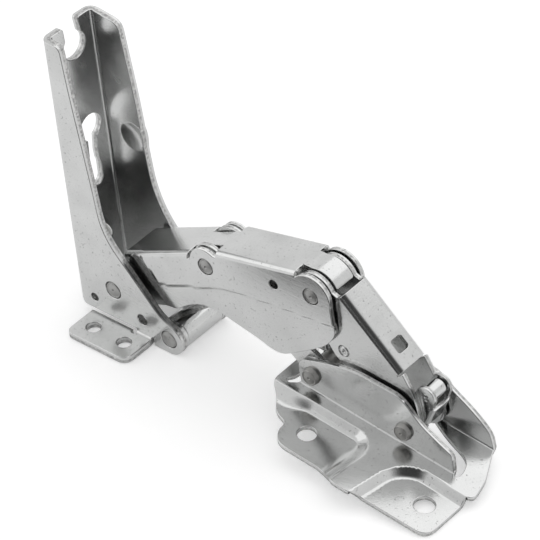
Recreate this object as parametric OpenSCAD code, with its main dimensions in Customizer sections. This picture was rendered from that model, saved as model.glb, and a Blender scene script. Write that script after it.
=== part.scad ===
// Refrigerator door hinge with seven pins: bracket, four levers and door plate.
// +Z runs up the bracket, +X from the bracket to the door plate, Y along the pins.
// The origin is the middle of the bracket's two screw holes, at the underside of its foot.

/* [Bracket] */
// thickness of the bracket sheet
bracket_t = 2.2; // [2:0.1:2.4]
// height of the bracket
bracket_h = 94.2; // [90:0.2:100]
// lean of the upright, in degrees
bracket_lean = 1; // [0:0.1:1.2]
// distance between the two screw holes of the foot
foot_pitch = 11.5; // [11:0.1:12]
// diameter of the screw holes of the foot
foot_hole_d = 4.4; // [3.6:0.1:5]
// length of the foot along the wall
foot_l = 22.7; // [22:0.1:24]
// reach of the foot in front of the wall
foot_reach = 11.3; // [11:0.1:14]
// distance of the screw holes from the outer edge of the foot
foot_edge = 5.75; // [5:0.05:6]
// diameter of the round in the hook notch
hook_d = 8.4; // [7.5:0.1:9.5]
// width of the mouth of the hook notch
hook_mouth = 5.6; // [4.5:0.1:6.5]
// diameter of the large end of the keyhole
keyhole_d = 8.4; // [7:0.1:9]
// diameter of the small end of the keyhole
keyhole_slot_d = 4.6; // [4:0.1:5]

/* [Levers] */
// thickness of the lever sheets
lever_t = 1.5; // [1.4:0.05:1.6]
// width of the swing arm over its cheeks
arm_w = 10.8; // [10.6:0.1:11]
// height of the pressed zone of the outer lever
press_h = 0.4; // [0.3:0.05:0.45]
// side of the square window in the swing arm
window = 4.1; // [3:0.1:5]
// thickness of the lower lever
lower_t = 2; // [1.6:0.1:2.2]
// thickness of the roller stirrup
stirrup_t = 1.2; // [1:0.1:1.4]

/* [Door plate] */
// thickness of the door plate sheet
plate_t = 1.5; // [1.4:0.1:1.7]
// depth of the sunken feet
foot_step = 2.4; // [2:0.1:2.4]
// distance between the two screw holes of the plate
plate_pitch = 40.4; // [39.5:0.1:41.5]
// diameter of the left screw hole
plate_hole_a = 5.4; // [4.5:0.1:6]
// diameter of the right screw hole
plate_hole_b = 6; // [4.5:0.1:6.5]
// tilt of the plate in this pose
plate_tilt = 6.5; // [6:0.1:6.5]

/* [Pins] */
// diameter of the two bracket pins
bracket_pin_d = 5.6; // [5:0.1:6]
// diameter of the pins of the levers and the plate
lever_pin_d = 5.2; // [4.6:0.1:5.4]
// diameter of the flush pin in the swing arm
arm_pin_d = 3.6; // [3.2:0.1:4]
// height of a riveted head
head_h = 0.5; // [0.3:0.1:0.6]
// height of the raised heads on the plate
raised_head_h = 1.4; // [1:0.1:1.8]
// diameter of the roller
roller_d = 4.6; // [4:0.1:5]
// diameter of the roller's pin
roller_pin_d = 2.2; // [1.8:0.1:2.4]

/* [Fits] */
// radial clearance of a bore that turns on its pin
run_clear = 0.06; // [0.04:0.01:0.08]
// gap between two sheets that pass each other
side_gap = 0.2; // [0.18:0.01:0.22]
// gap between the outer lever and the walls of the bracket
wall_gap = 0.7; // [0.65:0.05:1.2]
// gap between the swing arm and the cheeks of the plate
plate_gap = 0.7; // [0.65:0.05:0.8]
// room left round a pin at the two open pivots
open_clear = 2.1; // [2.1:0.05:2.2]

/* [Hidden] */
$fn = 72;
// pin centres in the hinge plane, taken from the bracket's lower back corner
boss_r = 5.1;
P1 = [12.7, 13.6];
P2 = [32.4, boss_r];
N1 = [47, 36.1];
N2 = [84.9, 43.5];
N3 = [93.3, 27.2];
Q1 = [82.9, 15];
Q2 = [114.5, 11.1];
// half widths, from the arm outwards
arm_o = arm_w / 2;
arm_i = arm_o - lever_t;
lever_i = arm_o + side_gap;
lever_o = lever_i + lever_t;
press_i = lever_i + press_h;
press_o = lever_o + press_h;
plate_i = arm_o + plate_gap;
plate_o = plate_i + plate_t;
wall_i = press_o + wall_gap;
wall_o = wall_i + bracket_t;
tongue_w = arm_i - 2 * side_gap;
lower_w = arm_i - side_gap;
// small gap that keeps two faces out of one plane
face_gap = 0.05;
washer_t = wall_i - lever_o - face_gap;
// foot of the bracket
foot_mid = 14.5;
foot_x0 = foot_mid - foot_l / 2;
foot_x1 = foot_mid + foot_l / 2;
foot_y0 = -wall_o - foot_reach;
hole_line = foot_y0 + foot_edge;
shift = [-foot_mid, -hole_line, 0];
// inner radius of the bracket's bends, and the end of the slit above the foot
bend_r = 0.9;
slit_x = foot_x1 - 5.7;
slit_z = bracket_t + 1;
// outer face of the bracket's web at its lower end
web_x = -1.8;
front_top = bracket_h - 0.6;
// half length of a cut across the hinge, and overhang of a riveted head
across = 20;
head_rim = 0.25;
bp_r = bracket_pin_d / 2;
rp_r = roller_pin_d / 2;
lp_r = lever_pin_d / 2;
ap_r = arm_pin_d / 2;
arm_turn = 43.4;
arm_top = 9.1;
roller_at = [119.7, 22.9];

function unit(v) = v / norm(v);
function polar(r, a) = [r * cos(a), r * sin(a)];

// moves a piece from the bracket corner to the origin of the part
module placed() {
    translate(shift) children();
}

// outline in the hinge plane, given depth between two y values
module side(y0, y1) {
    translate([0, y1, 0]) rotate([90, 0, 0]) linear_extrude(y1 - y0) children();
}

// the same outline on both sides of the middle plane
module both(y0, y1) {
    side(y0, y1) children();
    side(-y1, -y0) children();
}

// cylinder along the pins
module bar_y(c, r, y0, y1) {
    side(y0, y1) translate(c) circle(r);
}

// tapered outline that wraps two circles, its straight sides just inside their tangents
module wrap(c1, r1, c2, r2) {
    d = norm(c2 - c1);
    a = atan2(c2[1] - c1[1], c2[0] - c1[0]);
    b = acos((r1 - r2) / d);
    k = 0.999;
    polygon([c1 + polar(r1 * k, a + b), c2 + polar(r2 * k, a + b),
             c2 + polar(r2 * k, a - b), c1 + polar(r1 * k, a - b)]);
    translate(c1) circle(r1);
    translate(c2) circle(r2);
}

// fills an inside corner p between directions a and b with a round of radius r
module inner_round(p, a, b, r) {
    h = acos(unit(a) * unit(b)) / 2;
    t = r / tan(h);
    c = p + unit(unit(a) + unit(b)) * r / sin(h);
    difference() {
        polygon([p - unit(unit(a) + unit(b)) * 0.02, p + unit(a) * t, c, p + unit(b) * t]);
        translate(c) circle(r);
    }
}

// cuts an outside corner p between edges along a and b to a round of radius r
module corner_cut(p, a, b, r) {
    h = acos(unit(a) * unit(b)) / 2;
    t = r / tan(h);
    c = p + unit(unit(a) + unit(b)) * r / sin(h);
    difference() {
        polygon([p - unit(unit(a) + unit(b)) * 0.5, p + unit(a) * t, c, p + unit(b) * t]);
        translate(c) circle(r);
    }
}

// U section: web at the top, legs down, round bends
module u_section(hw, t, r, depth) {
    ri = r - t;
    difference() {
        union() {
            translate([-hw, -depth]) square([2 * hw, depth - r]);
            translate([-hw + r, -r - 0.1]) square([2 * hw - 2 * r, r + 0.1]);
            translate([-hw + r, -r]) circle(r);
            translate([hw - r, -r]) circle(r);
        }
        translate([-hw + t, -depth - 1]) square([2 * hw - 2 * t, depth + 1 - r]);
        translate([-hw + r, -r - 0.1]) square([2 * hw - 2 * r, r + 0.1 - t]);
        translate([-hw + r, -r]) circle(ri);
        translate([hw - r, -r]) circle(ri);
    }
}

// channel along x from x0 to x1, top of the web at z 0
module channel(hw, t, r, depth, x0, x1) {
    translate([x0, 0, 0]) rotate([90, 0, 90]) linear_extrude(x1 - x0) u_section(hw, t, r, depth);
}

// pin with flush riveted heads at both ends
module rivet(c, r, half, head) {
    bar_y(c, r, -half, half);
    bar_y(c, r + head_rim, -half - head, -half);
    bar_y(c, r + head_rim, half, half + head);
}

// ring along the pins
module ring_y(c, ro, ri, y0, y1) {
    side(y0, y1) translate(c) difference() {
        circle(ro);
        circle(ri);
    }
}

// outline of the front wall of the bracket
module front_wall_2d() {
    edge = [5.3, 78.9];
    corner = [3.8, front_top];
    difference() {
        union() {
            polygon([[-8, slit_z], [slit_x, slit_z], [slit_x, 0], [32.4, 0], [37.2, 7.2], [34.9, 9.6],
                     [30.1, 11.4], [11, 32.8], [9.4, 48], edge, corner, [-8, front_top]]);
            translate(P2) circle(boss_r);
            inner_round([11, 32.8], [-0.105, 1], [19.1, -21.4], 22);
        }
        corner_cut(corner, [-1, 0], edge - corner, 1.6);
        corner_cut([web_x, slit_z], [1, 0], [0, 1], 2.4);
    }
}

// outline of the back wall, deeper than the front wall
module back_wall_2d() {
    edge = [11.5, 67.3];
    shoulder = [8.2, bracket_h - 2];
    top = [-8, bracket_h + 0.6];
    difference() {
        union() {
            polygon([[-8, slit_z], [16, slit_z], [19, 0], [32.4, 0], [37.2, 7.2], [34.9, 9.6], [18.2, 28.2],
                     [14.2, 38], [12.9, 50], edge, shoulder, top]);
            translate(P2) circle(boss_r);
            inner_round([18.2, 28.2], [-4, 9.8], [16.7, -18.6], 20);
        }
        corner_cut(shoulder, top - shoulder, edge - shoulder, 2.4);
        corner_cut([web_x, slit_z], [1, 0], [0, 1], 2.4);
    }
}

// openings in the web: hook notch at the top and keyhole below, in (y, z)
module web_holes_2d() {
    hook = [0.3, bracket_h - 8.2];
    round_end = [1.9, 57.4];
    slot_end = [1.5, 40];
    slot_r = keyhole_slot_d / 2;
    translate(hook) circle(d = hook_d);
    translate(hook) rotate(4) translate([-hook_mouth / 2, 0]) square([hook_mouth, 14]);
    translate(round_end) circle(d = keyhole_d);
    wrap(slot_end, slot_r, slot_end + [0, 5], slot_r);
    wrap(slot_end + [0, 5], slot_r * 0.72, round_end, slot_r * 0.72);
}

// round dent pressed into the back wall, cut off at the wall's edge
module dent(r, y0) {
    dent_r = 14;
    dent_h = 0.85;
    at = [9, wall_i + dent_h - dent_r, 54.4];
    intersection() {
        translate(at) sphere(dent_r + r);
        side(y0, wall_o + 4) intersection() {
            back_wall_2d();
            translate([at[0] - 8, at[2] - 8]) square(16);
        }
    }
}

// foot: the sheet turns outwards below the front wall
module foot() {
    r = bend_r + bracket_t;
    difference() {
        translate([foot_x0, foot_y0, 0]) cube([foot_l, foot_reach - bend_r, bracket_t]);
        translate([0, 0, -1]) linear_extrude(bracket_t + 2) {
            corner_cut([foot_x0, foot_y0], [1, 0], [0, 1], 2.6);
            corner_cut([foot_x1, foot_y0], [-1, 0], [0, 1], 3.4);
        }
    }
    translate([foot_x0, -wall_o - 1, 0]) cube([slit_x - foot_x0, 2, bracket_t]);
    translate([slit_x, 0, 0]) rotate([90, 0, 90]) linear_extrude(foot_x1 - slit_x) intersection() {
        translate([-wall_o - bend_r, r]) difference() {
            circle(r);
            circle(bend_r);
        }
        translate([-wall_o - bend_r, 0]) square(r);
    }
}

module bracket() {
    r = bend_r + bracket_t;
    bend_l = foot_x1 - slit_x;
    color("silver") placed() difference() {
        union() {
            intersection() {
                translate([web_x, 0, 0]) rotate([0, -bracket_lean, 0]) translate([0, 0, -3])
                    linear_extrude(bracket_h + 9) rotate(90) u_section(wall_o, bracket_t, r, 60);
                union() {
                    side(-wall_o - 1, 0) front_wall_2d();
                    side(0, wall_o + 1) back_wall_2d();
                }
            }
            dent(bracket_t, wall_o - 0.4);
            foot();
        }
        // the wall is cut away where the bend of the foot takes over
        translate([slit_x - 0.1, -wall_o - 0.1, -0.1]) difference() {
            cube([bend_l + 0.2, bracket_t + 0.2, bracket_t + 1]);
            translate([0, 0.1 - bend_r, 0.1 + r]) rotate([0, 90, 0]) cylinder(h = bend_l + 0.2, r = r);
        }
        dent(0, wall_i - 0.4);
        translate([web_x - 4, 0, 0]) rotate([90, 0, 90]) linear_extrude(bracket_t + 6) web_holes_2d();
        for (s = [-1, 1]) translate([foot_mid + s * foot_pitch / 2, hole_line, -1])
            cylinder(h = bracket_t + 2, d = foot_hole_d);
        bar_y(P1, bp_r, -across, across);
        bar_y(P2, bp_r, -across, across);
        bar_y([4.9, 7.5], 1.3, -across, 0);
        bar_y([22.9, 7.7], 1.75, -across, 0);
    }
}

module upper_pin() {
    color("gray") placed() rivet(P1, bp_r, wall_o, head_h);
}

module lower_pin() {
    color("gray") placed() rivet(P2, bp_r, wall_o, head_h);
}

// pair of washers that fill the gap between the walls and an eye
module wall_washers(c) {
    ring_y(c, bp_r + 2, bp_r + run_clear, -wall_i, -wall_i + washer_t);
    ring_y(c, bp_r + 2, bp_r + run_clear, wall_i - washer_t, wall_i);
}

module upper_washers() {
    color("silver") placed() wall_washers(P1);
}

module lower_washers() {
    color("silver") placed() wall_washers(P2);
}

module stop_buffer() {
    color("white") placed() bar_y([10.6, 33], 2.2, -wall_i, -wall_i + wall_gap * 0.6);
}

// line of the outer lever's web, left and right of its crease
crease = [50.7, 43];
left_turn = 25.3;
right_turn = 13.1;
web_r = lever_t + 0.2;
curl_r = 6.7;

// channel along the left or the right leg of the bent web, measured from the crease
module web_leg(turn, hw, x0, x1) {
    translate([crease[0], 0, crease[1]]) rotate([0, -turn, 0]) channel(hw, lever_t, web_r, 40, x0, x1);
}

// solid bar along one leg, with round upper edges
module leg_bar(turn, hw, x0, x1) {
    translate([crease[0], 0, crease[1]]) rotate([0, -turn, 0]) translate([x0, 0, 0])
        rotate([90, 0, 90]) linear_extrude(x1 - x0) {
            translate([-hw, -40]) square([2 * hw, 40 - web_r]);
            translate([-hw + web_r, -web_r - 0.1]) square([2 * hw - 2 * web_r, web_r + 0.1]);
            translate([-hw + web_r, -web_r]) circle(web_r);
            translate([hw - web_r, -web_r]) circle(web_r);
        }
}

// room under the web along one leg
module leg_room(turn, hw, x0, x1) {
    translate([crease[0], 0, crease[1]]) rotate([0, -turn, 0])
        translate([x0, -hw, -41]) cube([x1 - x0, 2 * hw, 41 - lever_t]);
}

// bent channel: where both legs' bars meet, hollowed from below
module bent_channel(hw, x1) {
    difference() {
        intersection() {
            leg_bar(left_turn, hw, -60, 60);
            leg_bar(right_turn, hw, -60, x1);
        }
        intersection() {
            leg_room(left_turn, hw - lever_t, -61, 60);
            leg_room(right_turn, hw - lever_t, -61, x1 + 1);
        }
    }
}

// upper zone of the outer lever's cheeks, pressed outwards
module pressed_2d() {
    difference() {
        polygon([[21.6, 31], [22.2, 28.2], [28, 21], [43.8, 27.2], [53.3, 30.9], [58.8, 32.1], [73.2, 34.1],
                 [91.9, 36.2], [91.5, 42], N2, [83.2, 54], [40, 47]]);
        corner_cut([22.2, 28.2], [-0.2, 1], [5.8, -7.2], 2);
    }
}

// round ends of both cheeks, with a rounded rim
module ears(c, r, y0, y1, rim) {
    for (turn = [90, -90]) translate([c[0], 0, c[1]]) rotate([turn, 0, 0]) rotate_extrude() {
        translate([0, y0]) square([r - rim, y1 - y0]);
        translate([0, y0]) square([r, y1 - y0 - rim]);
        translate([r - rim, y1 - rim]) circle(rim);
    }
}

// lower zone with the neck that enters the bracket
module lower_zone_2d() {
    polygon([[27.4, 21.6], [28.6, 20.6], [43.8, 28], [53.3, 31.7], [58.8, 32.9], [73.2, 34.9],
             [91.9, 37], [92.3, 34.5], [91.5, 31.8], [89.5, 29], [86.5, 26.1], [74.5, 18.2], [71.8, 16.9],
             [68, 17], [64.6, 18.3], [52.2, 20.8], [47.5, 21.4], [43, 20.7], [38.6, 18.4], [33.5, 14.4]]);
    wrap(P1, 6, [27.5, 20], 6.4);
    polygon([[14, 19], [15.6, 25.6], [24, 29], [30, 25], [24, 16]]);
}

module outer_lever() {
    end_x = norm(N2 + polar(curl_r, 90 + right_turn) - crease);
    color("silver") placed() difference() {
        union() {
            intersection() {
                bent_channel(press_o, end_x);
                side(-press_o - 1, press_o + 1) pressed_2d();
            }
            ears(N2, curl_r, press_i, press_o, 1.2);
            // cheek below the ears, down to the lower zone
            both(press_i + face_gap, press_o - face_gap)
                polygon([N2, N2 + [curl_r - 0.3, -1.5], [91.9, 36.3], [83, 35.4]]);
            both(lever_i, lever_o) lower_zone_2d();
            // web of the neck, at the narrow width
            intersection() {
                web_leg(left_turn, lever_o, -60, -10);
                side(-lever_o - 1, lever_o + 1)
                    polygon([[15.6, 18], [15.6, 30], [24, 34], [28, 34], [28, 20]]);
            }
            // tongue of the web, curled round the knuckle
            side(-tongue_w, tongue_w) translate(N2) intersection() {
                difference() {
                    circle(curl_r);
                    circle(curl_r - lever_t);
                }
                polygon([[0, 0], polar(20, 90 + right_turn), polar(20, 60), polar(20, 20)]);
            }
        }
        // cut-outs for the ears of the inner lever and for the arm's cheek ends
        both(tongue_w, press_i - face_gap) translate(N1) circle(6.2);
        both(tongue_w, lever_i + 2 * face_gap) translate(N2) circle(curl_r + 0.4);
        side(-press_o - 1, -lever_i + 0.5) translate([71.8, 41.6]) circle(1.5);
        bar_y(P1, bp_r + run_clear, -across, across);
        bar_y(N1, lp_r, -across, across);
        bar_y(N2, lp_r, -across, across);
    }
}

module lever_pin() {
    color("gray") placed() rivet(N1, lp_r, press_o, head_h);
}

module knuckle_pin() {
    color("gray") placed() rivet(N2, lp_r, press_o, head_h);
}

module lever_washers() {
    y1 = press_i - face_gap;
    y0 = arm_o + face_gap;
    color("silver") placed() {
        ring_y(N1, lp_r + 2, lp_r + run_clear, -y1, -y0);
        ring_y(N1, lp_r + 2, lp_r + run_clear, y0, y1);
    }
}

// wide rolled eye with its lip, then a cranked strap to the open eye in the arm
module lower_lever() {
    ri1 = bp_r + run_clear;
    ri2 = ap_r + open_clear;
    half = lower_t / 2;
    root = P2 + polar(ri1 + half, 100);
    knee = [43, 18.5];
    tip = N3 + polar(ri2 + half, 115);
    lip_w = lever_o - 2 * side_gap;
    color("silver") placed() difference() {
        union() {
            bar_y(P2, ri1 + lower_t, -lever_o, lever_o);
            bar_y(N3, ri2 + lower_t, -lower_w, lower_w);
            side(-lip_w, lip_w) wrap(root, half, [28.2, 11.3], half);
            side(-lower_w, lower_w) {
                wrap(root, half, knee, half);
                wrap(knee, half, tip, half);
            }
        }
        bar_y(P2, ri1, -across, across);
        bar_y(N3, ri2, -across, across);
    }
}

// cheek of the inner lever, from its ear along to the open eye
module inner_cheek_2d(ear_r, eye_r, reach, web_h) {
    circle(ear_r);
    translate([reach, 0]) circle(eye_r);
    polygon([[0, web_h], [0, -web_h], [10, -3], [reach - 4, -3], [reach, -eye_r + 0.5], [reach, web_h]]);
}

// two cheeks with a web on the upper side, clear of the lower lever's strap
module inner_lever() {
    turn = atan2(N1[1] - Q1[1], Q1[0] - N1[0]);
    eye = lp_r + open_clear;
    web_h = 5.2;
    color("silver") placed() difference() {
        translate([N1[0], 0, N1[1]]) rotate([0, turn, 0]) {
            both(arm_i, arm_o) inner_cheek_2d(5.9, eye + 1, norm(Q1 - N1), web_h);
            translate([0, 0, web_h]) intersection() {
                channel(arm_o, lever_t, lever_t + 0.6, 8, 8, 13.4);
                translate([0, -across, -6]) cube([40, 2 * across, 10]);
            }
        }
        bar_y(N1, lp_r + run_clear, -across, across);
        bar_y(Q1, eye, -across, across);
    }
}

// outline of the swing arm from the knuckle, along its web
module arm_2d() {
    wrap([0, 0], 6.3, [17.3, -6.1], 4.2);
    wrap([17.3, -6.1], 4.2, [43.8, -3.2], 4.4);
    polygon([[0, 0], [2.6, 5.7], [4.6, arm_top], [30.4, arm_top], [38.4, 6.6], [47.2, -0.4], [43.8, -3.2],
             [17.3, -6.1]]);
}

module swing_arm() {
    br = lever_t + 0.6;
    color("silver") placed() difference() {
        translate([N2[0], 0, N2[1]]) rotate([0, arm_turn, 0]) difference() {
            union() {
                intersection() {
                    translate([0, 0, arm_top]) channel(arm_o, lever_t, br, 30, 0, 30.4);
                    side(-arm_o - 1, arm_o + 1) arm_2d();
                }
                both(arm_i, arm_o) difference() {
                    arm_2d();
                    translate([-10, arm_top - br]) square([40.4, 10]);
                }
            }
            translate([24.1 - window / 2, -window / 2, 0]) cube([window, window, 20]);
        }
        bar_y(N2, lp_r + run_clear, -across, across);
        bar_y(N3, ap_r, -across, across);
        bar_y(Q2, lp_r + run_clear, -across, across);
    }
}

module arm_pin() {
    color("gray") placed() bar_y(N3, ap_r, -arm_o, arm_o);
}

// door plate frame: u along the fold, w up from the base
plate_at = [78.1, 10.7];
fold_r = 0.5;
fold_y = plate_i - fold_r;
hole_mid = [33, -19.8];
low = -foot_step - plate_t;
foot_a_front = -27.6;
foot_b_front = -28.5;
foot_b_end = 60.9;
rib_front = -31.2;
// upper edge of the right foot's step, and the same line inside the sheet
step_b = [[37.4, foot_b_front], [39.2, -17.6], [41.7, -14.8], [46.8, -12.8], [foot_b_end, -12.3]];
step_b_in = [[35.6, foot_b_front], [37.3, -16.9], [40.6, -13.2], [46.2, -11], [foot_b_end, -10.5]];
function reversed(list) = [for (k = [len(list) - 1:-1:0]) list[k]];
function in_plate(p) = [(p[0] - plate_at[0]) * cos(plate_tilt) - (p[1] - plate_at[1]) * sin(plate_tilt),
                        (p[0] - plate_at[0]) * sin(plate_tilt) + (p[1] - plate_at[1]) * cos(plate_tilt)];

// base with the slot that the front cheek was raised from
module base_2d() {
    slot = -plate_o - fold_r;
    difference() {
        polygon(concat([[-6, fold_y], [-6, -12], [4.3, -12.4], [20.5, -12.8], [25, -14], [28.5, -18],
                        [30.5, rib_front], [37, rib_front]], step_b,
                       [[63.2, -11.3], [61.8, -5.4], [56, fold_y]]));
        polygon([[-0.8, slot], [55.2, slot], [54.8, -5.2], [52, -1.4], [42.6, 2], [36, fold_y + 0.1],
                 [-0.8, fold_y + 0.1]]);
        wrap([-2.2, -8.6], 1.2, [0.4, -7.2], 0.5);
        corner_cut([-6, -12], [0, 1], [1, -0.04], 3);
        corner_cut([63.2, -11.3], [-1, -0.3], [-0.2, 1], 1.5);
    }
}

module foot_a_2d() {
    difference() {
        polygon([[5.6, -10.6], [24.2, -10.9], [24.2, foot_a_front], [9, foot_a_front],
                 [5.8, -23.8], [5.8, -19]]);
        corner_cut([9, foot_a_front], [1, 0], [-3.2, 3.5], 3);
    }
}

module foot_b_2d() {
    difference() {
        polygon(concat(step_b_in, [[foot_b_end, foot_b_front]]));
        corner_cut([foot_b_end, foot_b_front], [-1, 0], [0, 1], 4);
    }
}

// steps that join the feet to the base
module steps() {
    translate([5, -12.4, low]) cube([19.2, 1.9, -low]);
    intersection() {
        side(rib_front, -11) polygon([[23.4, -foot_step], [29.6, 0], [31.4, 0], [31.4, -plate_t], [25.4, low],
                                      [23.4, low]]);
        translate([0, 0, low - 1]) linear_extrude(2 - low)
            polygon([[23, foot_a_front], [23, 0], [32, 0], [32, rib_front], [30.5, rib_front]]);
    }
    translate([0, 0, low]) linear_extrude(-low) polygon(concat(step_b_in, reversed(step_b)));
    // drawn corner between the tongue and the left foot
    intersection() {
        translate([-7, 0, 0]) rotate([90, 0, 90]) linear_extrude(13)
            polygon([[-10.6, 0], [-12.4, 0], [-19, -foot_step], [-19, low], [-17.5, low], [-10.6, -plate_t]]);
        translate([0, 0, low]) linear_extrude(-low)
            polygon([[-5, -10.5], [6, -10.5], [6, -19], [1.2, -19], [-2.6, -14]]);
    }
}

// bend of the sheet along the fold, ending in a wall whose far face lies at y plus the sheet
module fold_bend(y, u0, u1) {
    translate([u0, 0, 0]) rotate([90, 0, 90]) linear_extrude(u1 - u0) intersection() {
        translate([y - fold_r, fold_r]) difference() {
            circle(fold_r + plate_t);
            circle(fold_r);
        }
        translate([y - fold_r, -plate_t]) square(fold_r + plate_t);
    }
}

// front cheek, raised out of the base
module front_cheek_2d() {
    difference() {
        polygon([[-0.2, fold_r], [-1, 5], [1.6, 9.6], [7.5, 11.7], [13.8, 14.1], [19.4, 15.4], [33.4, 15.9],
                 [36.2, 14.6], [41.3, 10.2], [48.7, 7.1], [52.6, 5.8], [53.2, fold_r]]);
        corner_cut([52.6, 5.8], [-3.9, 1.3], [0.6, -5.2], 2);
    }
    translate(in_plate(Q1)) circle(5.3);
}

module back_cheek_2d() {
    difference() {
        polygon([[-3, fold_r], [-3, 6], [1.5, 10.6], [19, 16], [36, 16.2], [40.5, 13.2], [48.5, 9.4],
                 [54.8, 4.9], [56, fold_r]]);
        corner_cut([54.8, 4.9], [-6.3, 4.5], [1.2, -4.4], 3);
        corner_cut([-3, 6], [0, -1], [4.5, 4.6], 3);
    }
}

module door_plate() {
    color("silver") placed() difference() {
        translate([plate_at[0], 0, plate_at[1]]) rotate([0, plate_tilt, 0]) difference() {
            union() {
                translate([0, 0, -plate_t]) linear_extrude(plate_t) base_2d();
                translate([0, 0, low]) linear_extrude(plate_t) {
                    foot_a_2d();
                    foot_b_2d();
                }
                steps();
                fold_bend(-plate_o, -0.2, 53.2);
                fold_bend(plate_i, -3, 56);
                side(-plate_o, -plate_i) front_cheek_2d();
                side(plate_i, plate_o) back_cheek_2d();
            }
            translate([hole_mid[0] - plate_pitch / 2, hole_mid[1], low - 1])
                cylinder(h = plate_t + 2, d = plate_hole_a);
            translate([hole_mid[0] + plate_pitch / 2, hole_mid[1], low - 1])
                cylinder(h = plate_t + 2, d = plate_hole_b);
        }
        bar_y(Q1, lp_r, -across, across);
        bar_y(Q2, lp_r, -across, across);
    }
}

// pin of the plate: raised end in front, flush head at the back
module plate_pin(c) {
    bar_y(c, lp_r, -plate_o - raised_head_h, plate_o);
    bar_y(c, lp_r + head_rim, plate_o, plate_o + head_h);
}

module plate_pin_inner() {
    color("gray") placed() plate_pin(Q1);
}

module plate_pin_outer() {
    color("gray") placed() plate_pin(Q2);
}

module roller_stirrup() {
    a = atan2(roller_at[1] - Q2[1], roller_at[0] - Q2[0]);
    along = norm(roller_at - Q2);
    color("silver") placed() difference() {
        union() {
            both(arm_i - stirrup_t, arm_i) wrap(Q2, 4.2, roller_at, 3.2);
            translate([Q2[0], 0, Q2[1]]) rotate([0, -a, 0]) translate([3.5, -arm_i, -4])
                cube([along - 6.2, 2 * arm_i, stirrup_t]);
        }
        bar_y(Q2, lp_r + run_clear, -across, across);
        bar_y(roller_at, rp_r, -across, across);
    }
}

module roller() {
    half = arm_i - stirrup_t - side_gap;
    color("silver") placed() ring_y(roller_at, roller_d / 2, rp_r + run_clear, -half, half);
}

module roller_pin() {
    color("gray") placed() bar_y(roller_at, rp_r, -arm_i, arm_i);
}

bracket();
upper_pin();
lower_pin();
upper_washers();
lower_washers();
stop_buffer();
outer_lever();
lever_pin();
lever_washers();
knuckle_pin();
lower_lever();
inner_lever();
swing_arm();
arm_pin();
door_plate();
plate_pin_inner();
plate_pin_outer();
roller_stirrup();
roller();
roller_pin();
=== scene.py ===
import bmesh
import bpy
import numpy as np
from mathutils import Matrix, Vector
from mathutils.geometry import delaunay_2d_cdt


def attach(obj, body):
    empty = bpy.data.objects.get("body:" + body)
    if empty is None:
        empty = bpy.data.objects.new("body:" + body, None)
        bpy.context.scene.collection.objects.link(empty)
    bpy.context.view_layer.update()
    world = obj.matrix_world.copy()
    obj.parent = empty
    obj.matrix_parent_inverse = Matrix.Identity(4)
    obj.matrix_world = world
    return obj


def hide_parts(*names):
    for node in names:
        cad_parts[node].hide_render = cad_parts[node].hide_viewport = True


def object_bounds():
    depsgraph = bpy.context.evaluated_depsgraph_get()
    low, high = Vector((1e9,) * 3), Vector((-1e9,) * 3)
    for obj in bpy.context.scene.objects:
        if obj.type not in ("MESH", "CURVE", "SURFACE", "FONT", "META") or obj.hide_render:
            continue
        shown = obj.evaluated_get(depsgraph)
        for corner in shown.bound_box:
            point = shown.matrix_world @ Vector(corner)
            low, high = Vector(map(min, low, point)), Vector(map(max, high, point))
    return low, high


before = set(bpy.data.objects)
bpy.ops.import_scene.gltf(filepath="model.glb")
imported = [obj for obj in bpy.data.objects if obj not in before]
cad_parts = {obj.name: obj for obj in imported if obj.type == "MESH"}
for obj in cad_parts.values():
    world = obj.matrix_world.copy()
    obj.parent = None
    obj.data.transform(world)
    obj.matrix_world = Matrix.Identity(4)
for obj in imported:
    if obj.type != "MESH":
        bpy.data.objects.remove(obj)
cad_box = [list(corner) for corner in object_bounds()]

# The studio: the hinge lies on a white sweep under one wide soft box, with a smaller fill in front.
# The long lens looks down on the front walls from the right, as the photograph does.
scene = bpy.context.scene
scene.view_settings.view_transform = "Standard"
MM = 0.001

sight_right = Vector((0.7615, 0.6436, -0.0772)).normalized()
sight_up = Vector((-0.3617, 0.5207, 0.7734)).normalized()
sight_back = Vector((0.538, -0.561, 0.629)).normalized()
sight_range = 1.081
seen_middle = Vector((49.49, 15.95, 38.13)) * MM
camera = bpy.data.objects.new("camera", bpy.data.cameras.new("camera"))
camera.data.sensor_width = 36
camera.data.lens = 266.67
camera.data.clip_start = 0.05
camera.matrix_world = (Matrix.Translation(seen_middle + sight_back * sight_range)
                       @ Matrix((sight_right, sight_up, sight_back)).transposed().to_4x4())
scene.collection.objects.link(camera)
scene.camera = camera


def soft_box(name, place, aim, width, height, power):
    """Rectangular lamp at place, its face turned to aim."""
    lamp = bpy.data.lights.new(name, "AREA")
    lamp.shape = "RECTANGLE"
    lamp.size = width
    lamp.size_y = height
    lamp.energy = power
    box = bpy.data.objects.new(name, lamp)
    box.location = place
    box.rotation_euler = (Vector(aim) - Vector(place)).to_track_quat("-Z", "Y").to_euler()
    scene.collection.objects.link(box)


soft_box("key_box", (0.1, 0.5, 1.1), (0.05, 0.016, 0.02), 1.6, 1.2, 2.6)
soft_box("fill_box", (-0.9, -0.7, 0.6), (0.05, 0.016, 0.03), 1.0, 0.8, 1.0)


def add(tree, kind, **values):
    """New shader node of a kind. Each value goes to the input socket it names, with _ for a space."""
    node = tree.nodes.new("ShaderNode" + kind)
    for socket, value in values.items():
        node.inputs[socket.replace("_", " ")].default_value = value
    return node


def add_math(tree, operation, second=None):
    """New Math node, with its second value where one is given."""
    node = add(tree, "Math")
    node.operation = operation
    if second is not None:
        node.inputs[1].default_value = second
    return node


def wire(tree, *pairs):
    """Joins node outputs to node inputs, pair by pair."""
    for output, target in pairs:
        tree.links.new(output, target)


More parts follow.
